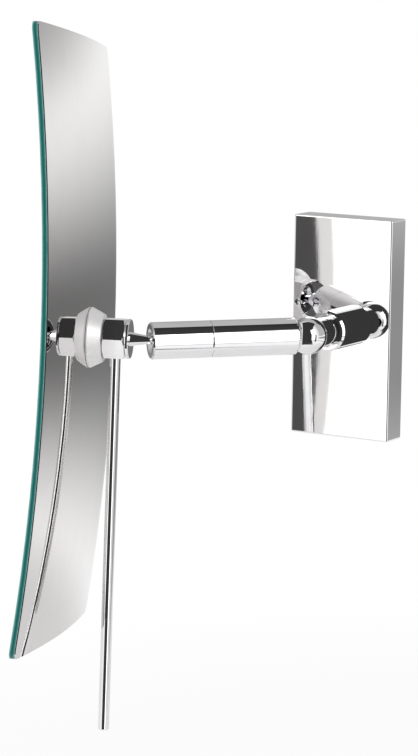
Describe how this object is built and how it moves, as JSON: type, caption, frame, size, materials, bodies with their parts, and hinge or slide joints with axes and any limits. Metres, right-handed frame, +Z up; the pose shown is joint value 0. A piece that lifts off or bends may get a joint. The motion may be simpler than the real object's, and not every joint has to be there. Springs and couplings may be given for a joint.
{
  "type": "swivel makeup mirror",
  "caption": "Wall-mounted makeup mirror with a concave rectangular glass, a handle rod and a short arm with a ball joint at each end.",
  "frame": {"origin": "on the wall, behind the middle of the wall cover, at the centre of the bracket's back face", "axes": "+Y into the wall, +Z up, +X to the right for someone who faces the wall"},
  "size_m": [0.1507, 0.1959, 0.3135],
  "materials": {
    "chrome": "polished",
    "polished_steel": "polished",
    "satin_steel": "satin",
    "mirror_glass": "silvered on the back, green at the edge",
    "bracket_steel": "zinc plated",
    "fastener_steel": "zinc plated",
    "spring_steel": "drawn",
    "brass": "turned",
    "seat_plastic": "moulded"
  },
  "bodies": {
    "base": {"wall_bracket": "bracket_steel", "cover_plate": "chrome", "cover_grub_screw": "fastener_steel", "stem_bolt": "fastener_steel", "stem_washer": "fastener_steel", "stem_barrel": "chrome", "seat_cup": "chrome"},
    "swivel": {"tension_bolt": "fastener_steel", "tension_nut": "fastener_steel", "tension_washer": "fastener_steel", "tension_spring": "spring_steel"},
    "arm": {"knuckle_ball": "chrome", "end_plug": "brass", "arm_sleeve": "chrome", "coupling_nipple": "brass", "socket_sleeve": "chrome", "pressure_spring": "spring_steel"},
    "head_seat": {"ball_seat": "seat_plastic"},
    "head_ball": {"head_ball": "chrome"},
    "head": {"neck_stud": "chrome", "end_disc": "chrome", "hex_hub": "chrome", "handle_rod": "chrome", "hub_flange": "satin_steel", "mounting_stud": "fastener_steel", "back_plate": "polished_steel", "mirror_glass": "mirror_glass"}
  },
  "joints": [
    {"name": "arm_turn", "type": "hinge", "parent": "base", "child": "swivel", "pos_m": [0, -0.0425, 0], "axis": [0, -1, 0], "continuous": true},
    {"name": "arm_tilt", "type": "hinge", "parent": "swivel", "child": "arm", "pos_m": [0, -0.0425, 0], "axis": [-0.0173, 0, 0.9999], "range_deg": [-8, 45]},
    {"name": "head_turn", "type": "hinge", "parent": "arm", "child": "head_seat", "pos_m": [-0.04688, -0.08938, -0.00081], "axis": [-0.7071, -0.7071, -0.0122], "continuous": true},
    {"name": "head_tilt", "type": "hinge", "parent": "head_seat", "child": "head_ball", "pos_m": [-0.04688, -0.08938, -0.00081], "axis": [0.0325, -0.0497, 0.9982], "range_deg": [-6, 50]},
    {"name": "head_spin", "type": "hinge", "parent": "head_ball", "child": "head", "pos_m": [-0.04688, -0.08938, -0.00081], "axis": [-0.9205, -0.3907, 0.0105], "continuous": true}
  ]
}
